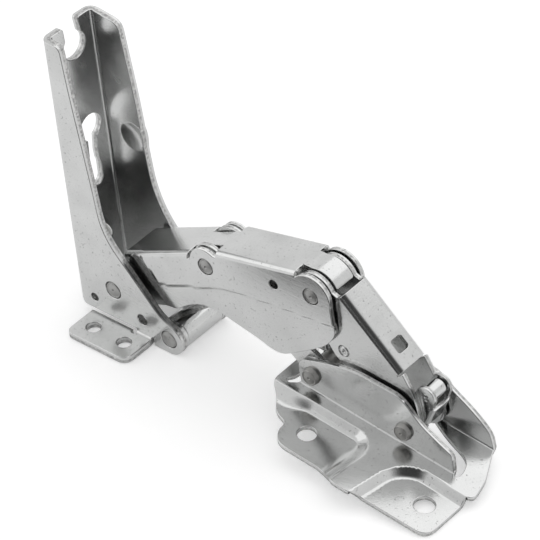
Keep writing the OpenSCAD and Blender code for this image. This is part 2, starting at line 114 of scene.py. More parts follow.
# The room is white to the camera; in the metal it darkens towards the front, where the camera stands.
world = bpy.data.worlds.new("sweep")
scene.world = world
world.use_nodes = True
sky = world.node_tree
sky.nodes.clear()
sky_out = add(sky, "OutputWorld")
sky_light = add(sky, "Background", Color=(1, 1, 1, 1), Strength=0.7)
sky_room = add(sky, "Background")
sky_seen = add(sky, "Background", Color=(1, 1, 1, 1), Strength=1.0)
sky_path = add(sky, "LightPath")
sky_way = add(sky, "TexCoord")
sky_front = add(sky, "VectorMath")
sky_front.operation = "DOT_PRODUCT"
sky_front.inputs[1].default_value = (0.45, -0.8, 0.4)
sky_shade = add(sky, "MapRange", From_Min=0.55, From_Max=0.95, To_Min=0.98, To_Max=0.06)
sky_shade.interpolation_type = "SMOOTHSTEP"
glossy_mix = add(sky, "MixShader")
camera_mix = add(sky, "MixShader")
wire(sky,
     (sky_way.outputs["Generated"], sky_front.inputs[0]),
     (sky_front.outputs["Value"], sky_shade.inputs["Value"]),
     (sky_shade.outputs["Result"], sky_room.inputs["Strength"]),
     (sky_path.outputs["Is Glossy Ray"], glossy_mix.inputs["Fac"]),
     (sky_light.outputs[0], glossy_mix.inputs[1]),
     (sky_room.outputs[0], glossy_mix.inputs[2]),
     (sky_path.outputs["Is Camera Ray"], camera_mix.inputs["Fac"]),
     (glossy_mix.outputs[0], camera_mix.inputs[1]),
     (sky_seen.outputs[0], camera_mix.inputs[2]),
     (camera_mix.outputs[0], sky_out.inputs["Surface"]))

# The floor is white paper. Painted dark reflection: a dark patch on its front right part is painted into the
# floor's colour for glossy rays alone, so it darkens the metal's reflections while the camera does not see it.
reach = 1.6
floor_level = cad_box[0][2]
floor_mesh = bpy.data.meshes.new("floor")
floor_mesh.from_pydata([(-reach, -reach, floor_level), (reach, -reach, floor_level),
                        (reach, reach, floor_level), (-reach, reach, floor_level)], [], [(0, 1, 2, 3)])
floor = bpy.data.objects.new("floor", floor_mesh)
scene.collection.objects.link(floor)
paper = bpy.data.materials.new("white_paper")
paper.use_nodes = True
sheet = paper.node_tree
sheet.nodes.clear()
paper_out = add(sheet, "OutputMaterial")
paper_add = add(sheet, "AddShader")
paper_dull = add(sheet, "BsdfDiffuse", Color=(0.9, 0.9, 0.9, 1))
paper_glow = add(sheet, "Emission")
paper_path = add(sheet, "LightPath")
paper_seen = add_math(sheet, "MULTIPLY", 0.35)
paper_mirrored = add_math(sheet, "MULTIPLY_ADD", 0.12)
paper_place = add(sheet, "TexCoord")
paper_sides = add(sheet, "SeparateXYZ")
# Painted dark reflection: the edges of the dark patch, in the floor's own place.
painted_reflection_x = add(sheet, "MapRange", From_Min=-0.005, From_Max=0.02)
painted_reflection_y = add(sheet, "MapRange", From_Min=-0.024, From_Max=-0.04)
for painted_reflection_edge in (painted_reflection_x, painted_reflection_y):
    painted_reflection_edge.interpolation_type = "SMOOTHSTEP"
painted_reflection_area = add_math(sheet, "MULTIPLY")
painted_reflection_mask = add_math(sheet, "MULTIPLY")
# Painted dark reflection: the colour that the patch shows to glossy rays alone.
painted_dark_reflection = add(sheet, "BsdfDiffuse", Color=(0.04, 0.04, 0.04, 1))
paper_mix = add(sheet, "MixShader")
wire(sheet,
     (paper_path.outputs["Is Camera Ray"], paper_seen.inputs[0]),
     (paper_path.outputs["Is Glossy Ray"], paper_mirrored.inputs[0]),
     (paper_seen.outputs[0], paper_mirrored.inputs[2]),
     (paper_mirrored.outputs[0], paper_glow.inputs["Strength"]),
     (paper_dull.outputs[0], paper_add.inputs[0]),
     (paper_glow.outputs[0], paper_add.inputs[1]),
     (paper_place.outputs["Object"], paper_sides.inputs[0]),
     (paper_sides.outputs["X"], painted_reflection_x.inputs["Value"]),
     (paper_sides.outputs["Y"], painted_reflection_y.inputs["Value"]),
     (painted_reflection_x.outputs["Result"], painted_reflection_area.inputs[0]),
     (painted_reflection_y.outputs["Result"], painted_reflection_area.inputs[1]),
     (painted_reflection_area.outputs[0], painted_reflection_mask.inputs[0]),
     (paper_path.outputs["Is Glossy Ray"], painted_reflection_mask.inputs[1]),
     (painted_reflection_mask.outputs[0], paper_mix.inputs["Fac"]),
     (paper_add.outputs[0], paper_mix.inputs[1]),
     (painted_dark_reflection.outputs[0], paper_mix.inputs[2]),
     (paper_mix.outputs[0], paper_out.inputs["Surface"]))
floor_mesh.materials.append(paper)

# The bracket: one folded channel of 2.2 mm steel sheet, with the foot turned out below the front wall.
# It is stamped, then bright zinc plated, so its faces are satin and its sheared edges stay rough.
# Shapes are drawn in millimetres about the hinge's middle plane, and corner_shift brings them to the frame.


def ramp(tree, low, high):
    """Colour ramp between two stops, each a pair of position and colour."""
    node = add(tree, "ValToRGB")
    for stop, (position, colour) in zip(node.color_ramp.elements, (low, high)):
        stop.position = position
        stop.color = (*colour, 1)
    return node


def zinc_material(name, tone, rough, grain):
    """Bright zinc plate: a metal whose tone and gloss drift in soft clouds, with fine grain,
    thin scratches across the sheet and a scatter of small dark pits."""
    zinc = bpy.data.materials.new(name)
    zinc.use_nodes = True
    tree = zinc.node_tree
    shader = tree.nodes["Principled BSDF"]
    shader.inputs["Metallic"].default_value = 1.0
    place = add(tree, "TexCoord")
    clouds = add(tree, "TexNoise", Scale=90, Detail=5)
    specks = add(tree, "TexNoise", Scale=1500, Detail=3)
    tones = ramp(tree, (0.3, np.array(tone) * 0.86), (0.7, tone))
    pits = ramp(tree, (0.26, (0.45, 0.45, 0.45)), (0.36, (1, 1, 1)))
    pitted = add(tree, "Mix")
    pitted.data_type = "RGBA"
    pitted.blend_type = "MULTIPLY"
    pitted.inputs["Factor"].default_value = 1.0
    gloss = add(tree, "MapRange", From_Min=0.3, From_Max=0.7, To_Min=rough * 0.8, To_Max=rough * 1.25)
    strokes = add(tree, "Mapping", Scale=(60, 60, 1400))
    scratches = add(tree, "TexNoise", Scale=1.0, Detail=2)
    relief = add_math(tree, "ADD")
    bump = add(tree, "Bump", Strength=grain, Distance=0.00005)
    wire(tree,
         (place.outputs["Object"], clouds.inputs["Vector"]),
         (place.outputs["Object"], specks.inputs["Vector"]),
         (place.outputs["Object"], strokes.inputs["Vector"]),
         (strokes.outputs[0], scratches.inputs["Vector"]),
         (clouds.outputs["Fac"], tones.inputs["Fac"]),
         (specks.outputs["Fac"], pits.inputs["Fac"]),
         (tones.outputs["Color"], pitted.inputs["A"]),
         (pits.outputs["Color"], pitted.inputs["B"]),
         (pitted.outputs["Result"], shader.inputs["Base Color"]),
         (clouds.outputs["Fac"], gloss.inputs["Value"]),
         (gloss.outputs["Result"], shader.inputs["Roughness"]),
         (specks.outputs["Fac"], relief.inputs[0]),
         (scratches.outputs["Fac"], relief.inputs[1]),
         (relief.outputs[0], bump.inputs["Height"]),
         (bump.outputs["Normal"], shader.inputs["Normal"]))
    return zinc


def sheared_material(name):
    """Sheared edge of plated sheet: short streaks across the thickness, half bright, half torn."""
    torn = bpy.data.materials.new(name)
    torn.use_nodes = True
    tree = torn.node_tree
    shader = tree.nodes["Principled BSDF"]
    shader.inputs["Metallic"].default_value = 1.0
    shader.inputs["Roughness"].default_value = 0.42
    place = add(tree, "TexCoord")
    across = add(tree, "Mapping", Scale=(1500, 1100, 1500))
    streaks = add(tree, "TexNoise", Scale=1.0, Detail=4)
    tones = ramp(tree, (0.36, (0.34, 0.34, 0.34)), (0.66, (0.7, 0.7, 0.69)))
    bump = add(tree, "Bump", Strength=0.3, Distance=0.00005)
    wire(tree,
         (place.outputs["Object"], across.inputs["Vector"]),
         (across.outputs[0], streaks.inputs["Vector"]),
         (streaks.outputs["Fac"], tones.inputs["Fac"]),
         (tones.outputs["Color"], shader.inputs["Base Color"]),
         (streaks.outputs["Fac"], bump.inputs["Height"]),
         (bump.outputs["Normal"], shader.inputs["Normal"]))
    return torn


bracket_zinc = zinc_material("bracket_zinc", (0.74, 0.745, 0.74), rough=0.22, grain=0.25)
sheared_edge = sheared_material("sheared_edge")
corner_shift = np.array((-14.5, 15.95, 0))


def unit(rows):
    """Rows of vectors, each brought to length 1."""
    return rows / np.linalg.norm(rows, axis=1)[:, None]


def softened(outline, radii, steps=7):
    """Closed outline whose corners are rounded: each corner is cut back by its radius and bridged by a
    curve through the corner's weight, p = (1-t)^2 a + 2t(1-t) corner + t^2 b."""
    corners = np.array(outline, float)
    radii = np.broadcast_to(radii, len(corners))
    before = np.roll(corners, 1, 0) - corners
    after = np.roll(corners, -1, 0) - corners
    reach_in = np.minimum(radii, np.linalg.norm(before, axis=1) * 0.48)[:, None]
    reach_out = np.minimum(radii, np.linalg.norm(after, axis=1) * 0.48)[:, None]
    a = corners + unit(before) * reach_in
    b = corners + unit(after) * reach_out
    t = np.linspace(0, 1, steps)[None, :, None]
    curve = (1 - t) ** 2 * a[:, None] + 2 * t * (1 - t) * corners[:, None] + t ** 2 * b[:, None]
    return curve.reshape(-1, 2)


def with_rounds(points, rounds):
    """Outline points as rows of (u, v, corner radius)."""
    return np.column_stack((points, np.broadcast_to(rounds, len(points))))


def arc(centre, r, start, end, count=24):
    """Points along a circle's arc between two angles in degrees."""
    turn = np.radians(np.linspace(start, end, count))
    return np.stack((centre[0] + r * np.cos(turn), centre[1] + r * np.sin(turn)), 1)


def ring(centre, r):
    """Whole circle as a closed loop of points."""
    return arc(centre, r, 0, 352.5, 48)


def lattice(along, across):
    """Every pair of a place along the blank and a place across it."""
    return np.stack(np.meshgrid(along, across), -1).reshape(-1, 2)


def bend_rows(along, flat, start, count):
    """Rows of points along the two bends of a channel, which run from flat to start on either side."""
    lines = np.linspace(flat, start, count)
    return lattice(along, np.concatenate((-lines, lines)))


def evened(loop, spacing, turn):
    """Closed loop with its long sides divided evenly; turn 1 runs it left about, -1 right about."""
    loop = np.asarray(loop, float)
    loop = loop[np.linalg.norm(loop - np.roll(loop, 1, 0), axis=1) > 0.004]
    ahead = np.roll(loop, -1, 0)
    if turn * np.sum(loop[:, 0] * ahead[:, 1] - loop[:, 1] * ahead[:, 0]) < 0:
        loop = loop[::-1]
    sides = np.roll(loop, -1, 0) - loop
    parts = np.maximum(1, np.ceil(np.linalg.norm(sides, axis=1) / spacing)).astype(int)
    start = np.repeat(np.arange(len(loop)), parts)
    first = np.repeat(np.cumsum(parts) - parts, parts)
    share = (np.arange(len(start)) - first) / np.repeat(parts, parts)
    return loop[start] + sides[start] * share[:, None]


def outward(loop):
    """Direction away from the metal at each point of a loop that keeps the metal on its left, mitred
    at corners."""
    ahead = unit(np.roll(loop, -1, 0) - loop)
    along = unit(ahead + np.roll(ahead, 1, 0))
    return np.stack((along[:, 1], -along[:, 0]), 1) / np.maximum(np.sum(along * ahead, 1), 0.7)[:, None]


def clear_of(points, loops, gap):
    """The points that lie further than a gap from every point of the loops."""
    for loop in loops:
        away = np.linalg.norm(points[:, None] - loop[None], axis=2).min(1)
        points = points[away > gap]
    return points


def filled_blank(loops, spacing, rows, on_grid):
    """Flat blank inside the first loop and outside the others: an even grid of points and the rows of the
    bends, joined to triangles that keep to the loops. The loops' own points come first."""
    low = np.min([loop.min(0) for loop in loops], 0)
    high = np.max([loop.max(0) for loop in loops], 0)
    grid = np.stack(np.meshgrid(np.arange(low[0], high[0], spacing), np.arange(low[1], high[1], spacing)), -1)
    grid[1::2, :, 0] += spacing / 2
    grid = grid.reshape(-1, 2)
    grid = clear_of(grid[on_grid(grid[:, 0], grid[:, 1])], loops, spacing * 0.55)
    rows = clear_of(rows, loops, 0.3)
    points = np.concatenate(loops + [rows, grid])
    ends = np.cumsum([len(loop) for loop in loops])
    bounds = [list(range(end - len(loop), end)) for loop, end in zip(loops, ends)]
    bounds = bounds[:1] + [hole[::-1] for hole in bounds[1:]]
    spots, _, faces, _, _, owner = delaunay_2d_cdt([Vector(p) for p in points], [], bounds, 0, 1e-5)
    faces = np.array([face for face, own in zip(faces, owner) if own and max(own) == 0])
    used = np.unique(faces)
    order = np.zeros(len(spots), int)
    order[used] = np.arange(len(used))
    return np.array(spots)[used], order[faces]


def fitted(name, mesh, node, body):
    """Puts a finished mesh in a CAD node's stead, to ride on its body."""
    piece = bpy.data.objects.new(name, mesh)
    scene.collection.objects.link(piece)
    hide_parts(node)
    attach(piece, body)


def folded_sheet(node, body, finish, place, outline, holes, thickness, edge, spacing, rows, on_grid):
    """Sheet worked from a flat blank. The outline and the holes bound the blank in (u, v); place(u, v) folds
    it and gives the points of its upper face; the lower face lies one thickness below along the normal. Each
    rim is a quarter round, a smooth sheared band, a torn band and a quarter round."""
    rim_step, probe, smooth_share = 0.5, 0.01, 0.42
    loops = [evened(outline, rim_step, 1)] + [evened(hole, rim_step, -1) for hole in holes]
    inner = [loop - outward(loop) * edge for loop in loops]
    flat, triangles = filled_blank(inner, spacing, rows, on_grid)

    def face_and_normal(q):
        along = place(q[:, 0] + probe, q[:, 1]) - place(q[:, 0] - probe, q[:, 1])
        across = place(q[:, 0], q[:, 1] + probe) - place(q[:, 0], q[:, 1] - probe)
        return place(q[:, 0], q[:, 1]), unit(np.cross(along, across))

    face, normal = face_and_normal(flat)
    sizes = np.array([len(loop) for loop in loops])
    count, rim = len(flat), sizes.sum()
    away = np.concatenate([outward(loop) for loop in loops])
    start = np.concatenate(inner)
    points, normals = [face, face - normal * thickness], [normal, -normal]
    quarter = np.radians((30, 60, 90))
    profile = [(edge * np.sin(a), edge * (1 - np.cos(a)), a) for a in quarter]
    profile += [(edge, thickness * smooth_share, np.pi / 2)]
    profile += [(edge * np.sin(a), thickness - edge * (1 - np.cos(a)), np.pi - a) for a in quarter[::-1]]
    for out, depth, lean_out in profile:
        spot, up = face_and_normal(start + away * out)
        side = unit(place(*(start + away * (out + probe)).T) - place(*(start + away * (out - probe)).T))
        points.append(spot - up * depth)
        normals.append(up * np.cos(lean_out) + side * np.sin(lean_out))
    here = np.arange(rim)
    ends = np.cumsum(sizes)
    ahead = here + 1
    ahead[ends - 1] = ends - sizes
    levels = [here] + [2 * count + k * rim + here for k in range(len(profile))] + [count + here]
    quads = np.concatenate([np.stack((a, b, b[ahead], a[ahead]), 1) for a, b in zip(levels[:-1], levels[1:])])
    mesh = bpy.data.meshes.new(node + "_sheet")
    mesh.from_pydata((np.concatenate(points) * MM).tolist(), [],
                     triangles.tolist() + (triangles[:, ::-1] + count).tolist() + quads.tolist())
    torn_from = 2 * len(triangles) + (len(quarter) + 1) * rim
    torn = np.zeros(len(mesh.polygons), int)
    torn[torn_from:torn_from + rim] = 1
    mesh.materials.append(finish)
    mesh.materials.append(sheared_edge)
    mesh.polygons.foreach_set("material_index", torn)
    mesh.polygons.foreach_set("use_smooth", np.ones(len(mesh.polygons), bool))
    mesh.normals_split_custom_set_from_vertices(np.concatenate(normals).tolist())
    fitted(node + "_sheet", mesh, node, body)


wall_half = 10.4
wall_bend = 3.1
web_flat = wall_half - wall_bend
wall_start = web_flat + wall_bend * np.pi / 2
lean = np.tan(np.radians(1))
web_back = -1.8
foot_curve = 0.9
foot_start = 3.1
foot_flat = foot_start - foot_curve * np.pi / 2
foot_free = 19.5
foot_end = 26.1
foot_hole_out = corner_shift[1] - wall_half - foot_curve
dent_at = (54.4, 20.8)
dent_r = 14
dent_depth = 0.85


def wall_blank(points, side):
    """Place in the blank of points (x, z) on a wall: side -1 is the front wall, 1 the back wall."""
    x, z = np.asarray(points, float).T
    return np.stack((z, side * (wall_start - wall_bend + x - web_back + lean * np.maximum(z, 0))), 1)


def bracket_place(u, v):
    """Channel section along the height u: flat web, two quarter bends, two walls. Below the front wall the
    sheet turns outwards to the foot, which is slit from the wall for most of its length, and the back wall
    bulges in a round dent."""
    far = np.abs(v)
    turn = np.clip((far - web_flat) / wall_bend, 0, np.pi / 2)
    y = np.sign(v) * (np.minimum(far, web_flat) + wall_bend * np.sin(turn))
    x = web_back - lean * np.maximum(u, 0) + wall_bend * (1 - np.cos(turn)) + np.maximum(far - wall_start, 0)
    dent = np.sqrt(np.maximum(dent_r ** 2 - (u - dent_at[0]) ** 2 - (v - dent_at[1]) ** 2, 0))
    y = y + np.maximum(dent - dent_r + dent_depth, 0)
    down = np.maximum(foot_start - u, 0)
    fold = np.clip(down / foot_curve, 0, np.pi / 2)
    foot = (v < -wall_start) & (x < foot_end) & (u < np.where(x < foot_free, foot_start - 0.08, foot_start))
    free = foot & (x < foot_free)
    fold = np.where(free, np.pi / 2, fold)
    run_out = np.where(free, foot_flat - u, np.maximum(down - foot_curve * np.pi / 2, 0))
    y = np.where(foot, -wall_half - foot_curve * (1 - np.cos(fold)) - run_out, y)
    z = np.where(foot, foot_start - foot_curve * np.sin(fold), u)
    return np.stack((x, y, z), 1) + corner_shift


upper_eye = (12.7, 13.6)
lower_eye = (32.4, 5.1)
wall_bores = ((upper_eye, 2.8), (lower_eye, 2.8))
tool_holes = (((4.9, 7.5), 1.3), ((22.9, 7.7), 1.75))
front_wall = np.concatenate((
    [(0.8, 3.2, 1.2), (20.15, 3.2, 0.3), (20.15, 1.5, 0.3), (18.8, 1.5, 0.3), (18.8, 2.8, 0.5),
     (3.15, 2.8, 0.6), (3.15, -8.714, 2.6), (25.85, -8.714, 3.4), (25.85, 2.75, 0.25), (26.4, 2.75, 0.25),
     (26.4, 0, 0.6)],
    with_rounds(arc(lower_eye, 5.1, -90, 62), 0),
    [(30.1, 11.6, 3), (11, 32.8, 7.1), (9.4, 48, 10), (5.3, 78.9, 8), (3.8, 93.6, 2.2)]))
back_wall = np.concatenate((
    [(8.2, 92.2, 3), (11.5, 67.3, 8), (12.9, 50, 8), (14.2, 38, 5), (18.2, 28.2, 7)],
    with_rounds(arc(lower_eye, 5.1, 58, -90), 0),
    [(19.2, 0, 1.5), (16, 3.2, 2), (0.8, 3.2, 1.2)]))
hook = (0.3, 86.0)
tip = np.radians(4)
mouth = hook + np.array([(-2.8, 7.7), (2.8, 7.9)]) @ [(np.cos(tip), np.sin(tip)), (-np.sin(tip), np.cos(tip))]
notch = np.concatenate((
    [(*mouth[0], 1.0)], with_rounds(arc(hook, 4.2, 137, 406, 40), 0), [(*mouth[1], 1.4)]))
bracket_rim = np.concatenate((
    [(5.6, -web_flat, 2), (4.2, -web_flat - 3, 1.5)],
    with_rounds(wall_blank(front_wall[:, :2], -1), front_wall[:, 2]),
    [(93.6, -web_flat, 1)], notch[:, (1, 0, 2)], [(93.85, web_flat, 2)],
    with_rounds(wall_blank(back_wall[:, :2], 1), back_wall[:, 2]),
    [(4.2, web_flat + 3, 1.5), (5.6, web_flat, 2)]))
keyhole = np.concatenate((arc((1.9, 57.4), 4.2, -66, 246, 40), [(0.0, 48.4), (-0.4, 46.6)],
                          arc((1.5, 44), 2.3, 150, 180, 5), arc((1.5, 40), 2.3, 180, 360, 24),
                          arc((1.5, 44), 2.3, 0, 30, 5), [(3.3, 46.6), (3.2, 48.4)]))
wall_holes = [wall_blank(ring(centre, r), -1) for centre, r in wall_bores + tool_holes]
wall_holes += [wall_blank(ring(centre, r), 1) for centre, r in wall_bores]
foot_holes = [ring((foot_flat - foot_hole_out, wall_blank([(x, 0)], -1)[0, 1]), 2.2) for x in (8.75, 20.25)]
foot_fold = np.arange(20.5, 25.8, 0.6)
bracket_rows = np.concatenate((
    bend_rows(np.arange(4, 94, 1.1), web_flat, wall_start, 9),
    lattice(np.linspace(foot_flat, foot_start, 6),
            wall_blank(np.column_stack((foot_fold, 0 * foot_fold)), -1)[:, 1]),
    np.concatenate([arc(dent_at, r, 0, 351, 40) for r in (1.5, 3, 4.2, 4.76, 4.95, 5.6)])))


def bracket_grid(u, v):
    """Where the even grid holds: outside the bends and the dent, which have rows of their own."""
    far = np.abs(v)
    bends = (far > web_flat - 0.5) & (far < wall_start + 0.5)
    fold = (u > foot_flat - 0.4) & (u < foot_start + 0.3) & (v < -28) & (v > -38)
    return ~(bends | fold | (np.hypot(u - dent_at[0], v - dent_at[1]) < 6.2))


folded_sheet("bracket", "bracket", bracket_zinc, bracket_place, softened(bracket_rim[:, :2], bracket_rim[:, 2]),
             wall_holes + foot_holes + [keyhole[:, ::-1]], thickness=2.2, edge=0.25, spacing=1.7,
             rows=bracket_rows, on_grid=bracket_grid)

# The outer lever: a channel of 1.5 mm sheet with a bent back, its cheeks pressed out above a crease.
# Its web runs on as a tongue, curled round the knuckle, and its cheeks end in round ears.
lever_zinc = zinc_material("lever_zinc", (0.76, 0.765, 0.76), rough=0.2, grain=0.22)
knuckle = (84.9, 43.5)
lever_eye = (47, 36.1)
lever_side = 7.5
lever_bend = 1.7
lever_flat = lever_side - lever_bend
lever_start = lever_flat + lever_bend * np.pi / 2
pressed_out = 0.4
slot_from, slot_to, slot_margin = 40.4, 51.0, 0.3
tongue_half = 3.5
tongue_side = tongue_half + 0.2
ears_from = 79.7
tongue_from = 83.4
tongue_to = 93.0
tongue_r = 6.7
tongue_turn = np.radians(103.1)
tongue_sink = 0.55
crease_x = (20.4, 21.6, 22.2, 28, 43.8, 53.3, 58.8, 73.2, 92.5)
crease_z = (60, 31, 28.2, 21, 27.2, 30.9, 32.1, 34.1, 36.3)


def eased(t):
    """Smooth step from 0 to 1."""
    t = np.clip(t, 0, 1)
    return t * t * (3 - 2 * t)


def lever_back(x):
    """Height of the lever's back over its length: two slopes that meet in a soft ridge."""
    ridge_x, ridge_z, mean_slope, half_change, softness = 50.7, 43, 0.3527, 0.12, 0.5
    run = x - ridge_x
    return ridge_z + mean_slope * run - half_change * np.sqrt(run * run + softness)


def lever_blank(points, side=1):
    """Place in the blank of points (x, z) on a cheek."""
    x, z = np.asarray(points, float).T
    return np.stack((x, side * (lever_start + lever_back(x) - lever_bend - z)), 1)


def lever_place(u, v):
    """Channel along u under the bent back. Ears stay upright beside the web's slots, the cheeks step out
    above the crease, and the tongue leaves the back on a circle round the knuckle."""
    far = np.abs(v)
    in_slot = (u > slot_from + slot_margin) & (u < slot_to - slot_margin)
    upright = (far > tongue_side) & (in_slot | (u > ears_from + 0.4))
    turn = np.where(upright, np.pi / 2, np.clip((far - lever_flat) / lever_bend, 0, np.pi / 2))
    past_bend = far - lever_start
    drop = lever_bend * (1 - np.cos(turn)) + np.where(upright, past_bend, np.maximum(past_bend, 0))
    tongue = (far < tongue_side) & (u > tongue_from)
    sink = tongue_sink * eased((u - ears_from + slot_margin) / 4)
    z = lever_back(u) - drop - np.where(far < tongue_side, sink, 0)
    pressed = eased((z - np.interp(u, crease_x, crease_z)) / 1.0 + 0.5)
    y = np.minimum(far, lever_flat) + lever_bend * np.sin(turn)
    y = np.where(upright, lever_side, y)
    y = y * (1 - (1 - pressed) * pressed_out / lever_side)
    curl = tongue_turn - (u - tongue_from) / tongue_r
    x = np.where(tongue, knuckle[0] + tongue_r * np.cos(curl), u)
    z = np.where(tongue, knuckle[1] + tongue_r * np.sin(curl), z)
    return np.stack((x, np.sign(v) * np.where(tongue, far, y), z), 1) + corner_shift


def both_sides(half):
    """Closed outline from one half: rows of (u, v, corner radius), run on along the mirrored half."""
    half = np.asarray(half, float)
    whole = np.concatenate((half, half[::-1] * (1, -1, 1)))
    return softened(whole[:, :2], whole[:, 2])


lever_half = np.concatenate((
    [(tongue_to, tongue_half, 0.8), (ears_from, tongue_half, 0.5), (ears_from, 8.75, 0.25)],
    with_rounds(lever_blank(arc(knuckle, 6.7, 132, -12, 40)), 0),
    with_rounds(lever_blank([(91.9, 37), (92.3, 34.5), (91.5, 31.8), (89.5, 29), (86.5, 26.1), (74.5, 18.2),
                             (71.8, 16.9), (68, 17), (64.6, 18.3), (52.2, 20.8), (47.5, 21.4), (43, 20.7),
                             (38.6, 18.4), (33.5, 14.4), (30, 14.1)]),
                [1, 2, 2, 3, 5, 2, 2, 2, 4, 4, 3, 3, 3, 1.5, 1.5]),
    with_rounds(lever_blank(arc(upper_eye, 6, -66.6, -245, 40)), 0),
    with_rounds(lever_blank([(14.2, 19.6), (15.5, 24.4)]), [1, 0.8]),
    [(15.6, lever_flat - 1, 0.8)]))
ear_points = 30
ear_slots = [softened(np.concatenate((
    [(slot_from, side * tongue_half), (slot_to, side * tongue_half), (slot_to, side * 8.8)],
    lever_blank(arc(lever_eye, 5.7, 60, 172, ear_points), side),
    [(slot_from, side * 8.9)])), [0.5, 0.5, 0.2] + [0] * ear_points + [0.2]) for side in (1, -1)]
lever_bores = [lever_blank(ring(centre, r), side) for side in (1, -1)
               for centre, r in ((lever_eye, 2.6), (knuckle, 2.6), (upper_eye, 2.86))]
relief_hole = lever_blank(ring((71.8, 41.6), 1.5), -1)
lever_rows = np.concatenate((
    bend_rows(np.arange(16, 79.6, 0.8), lever_flat, lever_start, 7),
    lattice(np.arange(80, tongue_to, 0.7), np.linspace(-3, 3, 5))))


def lever_grid(u, v):
    """Where the even grid holds: beside the bends and the tongue."""
    far = np.abs(v)
    bends = (far > lever_flat - 0.3) & (far < lever_start + 0.3) & (u < 80)
    return ~(bends | ((u > 79.6) & (far < 4)))


folded_sheet("outer_lever", "outer_lever", lever_zinc, lever_place, both_sides(lever_half),
             ear_slots + lever_bores + [relief_hole], thickness=1.5, edge=0.2, spacing=0.85,
             rows=lever_rows, on_grid=lever_grid)

# The lower lever: one strip of 2 mm sheet, rolled to a wide eye round the bracket's lower pin.
# It narrows to a cranked strap and ends in an open eye between the swing arm's cheeks.
arm_eye = (93.3, 27.2)
roll_r, roll_from, roll_to = 4.86, 423.5, 128.5
open_r = 5.9
crank = 105.5
strip_run = np.concatenate((arc(lower_eye, roll_r, roll_from, roll_to, 120),
                            arc((44.0, 15.5), 4.08, 115, crank, 8),
                            arc(arm_eye, open_r, crank, crank - 300, 120)))
strip_at = np.concatenate(([0], np.cumsum(np.linalg.norm(np.diff(strip_run, axis=0), axis=1))))
strip_end = strip_at[-1]
roll_length = roll_r * np.radians(roll_from - roll_to)


def strip_place(u, v):
    """Strip carried along its bent line: u runs along the line, v across it."""
    x, z = np.interp(u, strip_at, strip_run[:, 0]), np.interp(u, strip_at, strip_run[:, 1])
    return np.stack((x, v, z), 1) + corner_shift


def strip_grid(u, v):
    """Where the even grid holds: on the straight strap between the two eyes."""
    return (u > roll_length + 1) & (u < strip_end - 31)


strip_half = [(strip_end - 0.05, 3.7, 0.6), (roll_length + 2.5, 3.7, 1.5), (roll_length - 1, 7.1, 1.5),
              (0.05, 7.1, 0.8)]
eye_rows = np.concatenate((np.arange(0.6, roll_length, 0.6), np.arange(strip_end - 30, strip_end - 0.5, 0.7)))
strip_rows = lattice(eye_rows, np.linspace(-6.6, 6.6, 12))
folded_sheet("lower_lever", "lower_lever", lever_zinc, strip_place, both_sides(strip_half), [],
             thickness=2.0, edge=0.25, spacing=1.2, rows=strip_rows, on_grid=strip_grid)

# The inner lever and the swing arm: folded channels of 1.5 mm sheet that carry the door plate on its pins.
# The inner lever's round ears look out through the outer lever's slots; the arm has a square window in its web.


def channel(centre, turn, half, bend, top, web_from, web_to, way=1):
    """Folding rule of a straight channel whose line leaves the centre at a turn below the level. The web lies
    at the height top, and cheeks beyond the web's ends stand upright to their edge. Returns the rules place,
    blank and on_grid, the rows of the bends, and where the cheeks start in the blank."""
    flat = half - bend
    start = flat + bend * np.pi / 2
    turn = np.radians(turn)

    def place(u, v):
        far = np.abs(v)
        upright = (u < web_from - 0.12) | (u > web_to + 0.12)
        fold = np.where(upright, np.pi / 2, np.clip((far - flat) / bend, 0, np.pi / 2))
        y = np.where(upright, half, np.minimum(far, flat) + bend * np.sin(fold))
        drop = bend * (1 - np.cos(fold)) + np.where(upright, far - start, np.maximum(far - start, 0))
        w = way * (top - drop)
        x = centre[0] + u * np.cos(turn) + w * np.sin(turn)
        z = centre[1] - u * np.sin(turn) + w * np.cos(turn)
        return np.stack((x, way * np.sign(v) * y, z), 1) + corner_shift

    def blank(points, side=1):
        u, w = np.asarray(points, float).T
        return np.stack((u, side * (start + top - bend - way * w)), 1)

    def on_grid(u, v):
        far = np.abs(v)
        return ~((far > flat - 0.3) & (far < start + 0.3) & (u > web_from - 0.5) & (u < web_to + 0.5))

    rows = bend_rows(np.arange(web_from + 0.3, web_to - 0.2, 0.7), flat, start, 7)
    return place, blank, on_grid, rows, start


def cheek_bores(blank, bores):
    """Bores (centre, radius) through both cheeks of a channel."""
    return [blank(ring(centre, r), side) for side in (1, -1) for centre, r in bores]


arm_from, arm_to = 4.6, 30.4
place, blank, on_grid, rows, start = channel(knuckle, 43.4, half=5.4, bend=2.1, top=9.1,
                                             web_from=arm_from, web_to=arm_to)
arm_half = np.concatenate((
    [(arm_to, start - 1.2, 0.15), (arm_to, start + 0.25, 0.12), (arm_to + 0.4, start + 0.25, 0.12)],
    with_rounds(blank([(arm_to + 0.4, 9.0), (38.4, 6.6)]), [0.6, 4]),
    with_rounds(blank(arc((43.8, -3.2), 4.4, 39.5, -84.2, 24)), 0),
    with_rounds(blank(arc((17.3, -6.1), 4.2, -84.2, -102.8, 6)), 0),
    with_rounds(blank(arc((0, 0), 6.3, 257.2, 66, 40)), 0),
    [(arm_from, start + 0.4, 1.0), (arm_from, start - 2.4, 0.8)]))
window = softened([(22.05, -2.05), (26.15, -2.05), (26.15, 2.05), (22.05, 2.05)], 0.9)
arm_bores = cheek_bores(blank, (((0, 0), 2.66), ((17.3, -6.07), 1.8), ((43.77, -3.2), 2.66)))
folded_sheet("swing_arm", "swing_arm", lever_zinc, place, both_sides(arm_half), arm_bores + [window],
             thickness=1.5, edge=0.2, spacing=1.1, rows=rows, on_grid=on_grid)

